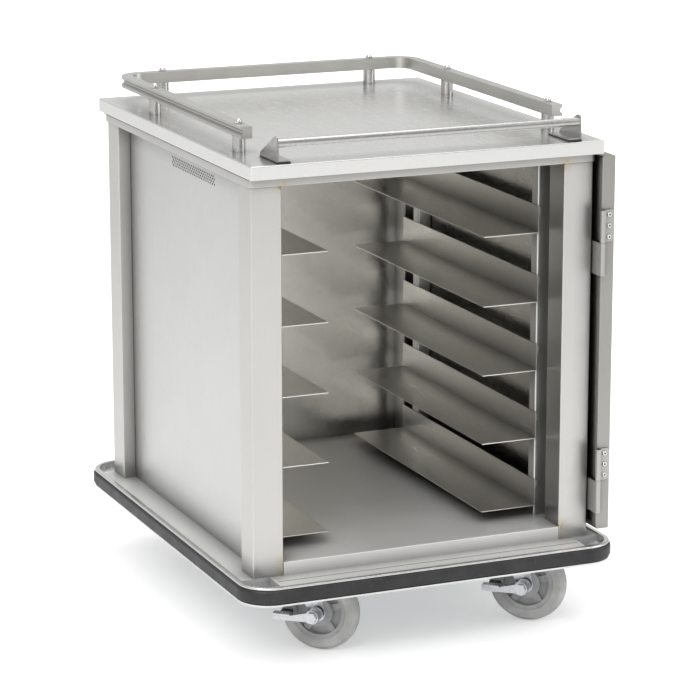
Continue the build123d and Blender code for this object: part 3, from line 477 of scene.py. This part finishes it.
def add_vent_shade_sheets():
    """Dark sheets just behind the two punched vents: painted shade for the dark seen through the holes."""
    for side, panel in ((-1, "left_side_panel"), (1, "right_side_panel")):
        low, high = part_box(panel)
        inner_x = high.x if side < 0 else low.x
        near_corner = (inner_x, VENT_SPAN_Y[0], VENT_SPAN_Z[0])
        far_corner = (inner_x - side * SHADE_SHEET_THICKNESS, VENT_SPAN_Y[1], VENT_SPAN_Z[1])
        name = panel.replace("side_panel", "vent_shade_sheet")
        blocks_piece(name, [(near_corner, far_corner)], "seal_rubber", "cabinet", 0.05 * MM)


LEDGE_LEVELS = 5
LEDGE_PITCH = 133.35 * MM
FIRST_CLIP_Z = 249 * MM
UPRIGHT_FACE_X = 271 * MM
UPRIGHT_DEPTH = 26 * MM


def add_ledge_clips():
    """A bright spring clip over each ledge hook, on the face of every upright."""
    width = 9 * MM
    height = 15 * MM
    thickness = 1.2 * MM
    sunk = 0.2 * MM
    inset = 2 * MM
    low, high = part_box("tray_uprights")
    boxes = []
    for side in (-1, 1):
        for face_y in (low.y, high.y - UPRIGHT_DEPTH):
            for level in range(LEDGE_LEVELS):
                x = side * (UPRIGHT_FACE_X + inset)
                z = FIRST_CLIP_Z + LEDGE_PITCH * level
                boxes.append(((x, face_y - thickness, z), (x + side * width, face_y + sunk, z + height)))
    blocks_piece("ledge_clips", boxes, "upright_steel", "cabinet", 0.35 * MM)


def caster_frame(corner):
    """A caster's own frame: x along its trail, y away from its brake side, z up, from under its kingpin."""
    joints = {joint["name"]: joint for joint in frame["joints"]}
    swivel = Vector(joints[corner + "_swivel"]["pos_m"])
    roll = joints[corner + "_roll"]
    axle = Vector(roll["pos_m"])
    along = Vector((axle.x - swivel.x, axle.y - swivel.y, 0)).normalized()
    away = -Vector(roll["axis"]).normalized()
    place = Matrix((along, away, (0, 0, 1))).transposed().to_4x4()
    place.translation = (swivel.x, swivel.y, 0)
    return place


def add_brake_pads():
    """Ribbed tread on each brake pedal, and the black shoe beside the tyre."""
    start_x, end_x = -38 * MM, -4 * MM
    outer_y, inner_y = -52 * MM, -36 * MM
    top = 75.2 * MM
    lap = 0.5 * MM
    margin = 1 * MM
    ribs = 7
    pitch = (end_x - start_x) / ribs
    shoe = ((-30.8 * MM, -35.9 * MM, 64.2 * MM), (-9.2 * MM, -17.0 * MM, 76.8 * MM))
    for corner in ("front_left", "front_right"):
        place = caster_frame(corner)
        body = corner + "_brake_lever"
        tread = [((start_x - lap, outer_y - lap, top - 3 * MM), (end_x, inner_y + lap, top + 2.2 * MM))]
        for rib in range(ribs):
            x = start_x + rib * pitch
            tread.append(((x, outer_y + margin, top + 1 * MM),
                          (x + 0.55 * pitch, inner_y - margin, top + 3.4 * MM)))
        blocks_piece(corner + "_pedal_tread", tread, "brake_steel", body, 0.6 * MM, place)
        blocks_piece(corner + "_brake_shoe", [shoe], "seal_rubber", body, 1.5 * MM, place)


def add_socket_shade():
    """Small dark hexagons on the hinge screws: painted shade for the hollow of each hex socket."""
    head = 9.6 * MM
    pitch = 21 * MM
    socket = 1.9 * MM
    for node, body, axis in (("hinge_frame_screws", "cabinet", 0), ("hinge_door_screws", "door", 1)):
        low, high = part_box(node)
        centre = (low + high) / 2
        builder = bmesh.new()
        rows = [low.z + head / 2 + pitch * step for step in range(3)]
        rows += [high.z - head / 2 - pitch * step for step in range(3)]
        for z in rows:
            spot = Vector((high.x if axis == 0 else centre.x, low.y if axis == 1 else centre.y, z))
            turn = Matrix.Rotation(math.radians(90), 4, "Y" if axis == 0 else "X")
            bmesh.ops.create_cone(builder, cap_ends=True, segments=6, radius1=socket, radius2=socket,
                                  depth=0.25 * MM, matrix=Matrix.Translation(spot) @ turn)
        mesh = bpy.data.meshes.new(node + "_socket_shade")
        builder.to_mesh(mesh)
        builder.free()
        finish_piece(node + "_socket_shade", mesh, "seal_rubber", body)


def header_shade_strips(width):
    """Painted shade lines round the upper frame, just under the top's drop edges."""
    top_low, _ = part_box("top_panel")
    low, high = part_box("top_frame")
    z_low = top_low.z - 3.2 * MM
    z_high = top_low.z + 1.0 * MM
    boxes = []
    for side in (-1, 1):
        boxes.append(((side * high.x, low.y, z_low), (side * (high.x + width), high.y, z_high)))
        boxes.append(((low.x, side * high.y, z_low), (high.x, side * (high.y + width), z_high)))
    return boxes


def post_shade_strips(width):
    """Painted shade: a dark collar at the head of every post, and a dark line where it meets its side panel."""
    collar = 0.35 * MM
    collar_height = 1.1 * MM
    proud = 0.5 * MM
    boxes = []
    for name in ("front_left_post", "front_right_post", "rear_left_post", "rear_right_post"):
        low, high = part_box(name)
        side = -1 if low.x < 0 else 1
        into = 1 if low.y < 0 else -1
        panel_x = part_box("left_side_panel")[0].x if side < 0 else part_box("right_side_panel")[1].x
        edge_y = high.y if low.y < 0 else low.y
        boxes.append(((low.x - collar, low.y - collar, high.z - collar_height),
                      (high.x + collar, high.y + collar, high.z)))
        boxes.append(((panel_x, edge_y, low.z), (panel_x + side * proud, edge_y + into * width, high.z)))
    return boxes


def deck_shade_strip():
    """A painted shade line along the joint at the front of the base deck."""
    half_length = 305 * MM
    half_width = 0.6 * MM
    half_height = 0.3 * MM
    y = (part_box("base_deck")[0].y + POST_FACE_Y) / 2
    return [((-half_length, y - half_width, DECK_Z - half_height),
             (half_length, y + half_width, DECK_Z + half_height))]


def add_joint_shading():
    """Thin dark lines of painted shade where the top, the posts, the panels and the deck meet."""
    width = 1.3 * MM
    boxes = header_shade_strips(width) + post_shade_strips(width) + deck_shade_strip()
    blocks_piece("seam_shade_strips", boxes, "joint_shade", "cabinet", 0.1 * MM)


add_vent_shade_sheets()
add_joint_shading()
add_ledge_clips()
add_brake_pads()
add_socket_shade()
